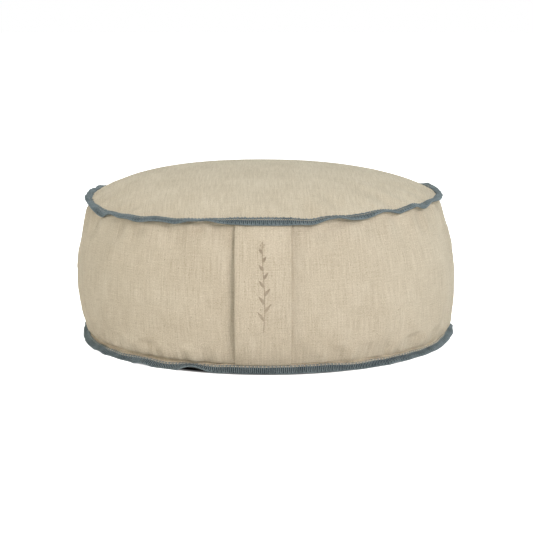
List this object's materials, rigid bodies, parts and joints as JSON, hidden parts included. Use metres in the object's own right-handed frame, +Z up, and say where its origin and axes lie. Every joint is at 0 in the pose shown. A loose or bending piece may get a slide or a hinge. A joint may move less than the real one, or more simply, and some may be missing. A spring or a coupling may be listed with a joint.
{
  "type": "floor cushion",
  "caption": "Round filled floor cushion with a domed top, barrel sides, exposed overlocked edges, a carrying handle in front and a zip behind.",
  "frame": {"origin": "centre of the flat underside, on the floor that the cushion stands on", "axes": "+Z up, -Y towards the carrying handle (the front), +Y towards the zip, +X to the right seen from the front"},
  "size_m": [0.3334, 0.342, 0.149],
  "materials": {
    "linen": "natural oatmeal linen and hemp canvas, slubbed plain weave, matt",
    "overlock_thread": "slate blue-grey spun polyester overlock thread",
    "zip_tape": "herringbone woven polyester tape, beige",
    "zip_nylon": "beige nylon coil, satin",
    "zip_metal": "zinc alloy with a satin nickel finish",
    "label_satin": "white satin ribbon, blank",
    "liner_calico": "unbleached cotton calico",
    "grain_hulls": "loose brown grain hulls"
  },
  "bodies": {
    "cushion": {"top_panel": "linen", "bottom_panel": "linen", "side_band": "linen", "zip_band_upper": "linen", "zip_band_lower": "linen", "top_edge_overlock": "overlock_thread", "bottom_edge_overlock": "overlock_thread", "zip_tape_upper": "zip_tape", "zip_coil_upper": "zip_nylon", "zip_top_stop_upper": "zip_metal", "zip_tape_lower": "zip_tape", "zip_coil_lower": "zip_nylon", "zip_top_stop_lower": "zip_metal", "zip_bottom_stop": "zip_metal", "care_label": "label_satin", "liner_top_panel": "liner_calico", "liner_side_band": "liner_calico", "liner_bottom_panel": "liner_calico", "liner_top_seam": "liner_calico", "liner_bottom_seam": "liner_calico", "filling": "grain_hulls"},
    "handle": {"carry_handle": "linen"},
    "slider": {"zip_slider": "zip_metal"},
    "pull": {"zip_pull": "zip_metal"}
  },
  "joints": [
    {"name": "handle_lift", "type": "slide", "parent": "cushion", "child": "handle", "axis": [0, -1, 0], "range_m": [0, 0.012]},
    {"name": "zip_travel", "type": "hinge", "parent": "cushion", "child": "slider", "pos_m": [0, 0, 0.056], "axis": [0, 0, -1], "range_deg": [0, 146]},
    {"name": "pull_swing", "type": "hinge", "parent": "slider", "child": "pull", "pos_m": [-0.16207, 0.04893, 0.056], "axis": [0, 0, 1], "range_deg": [0, 180]}
  ]
}
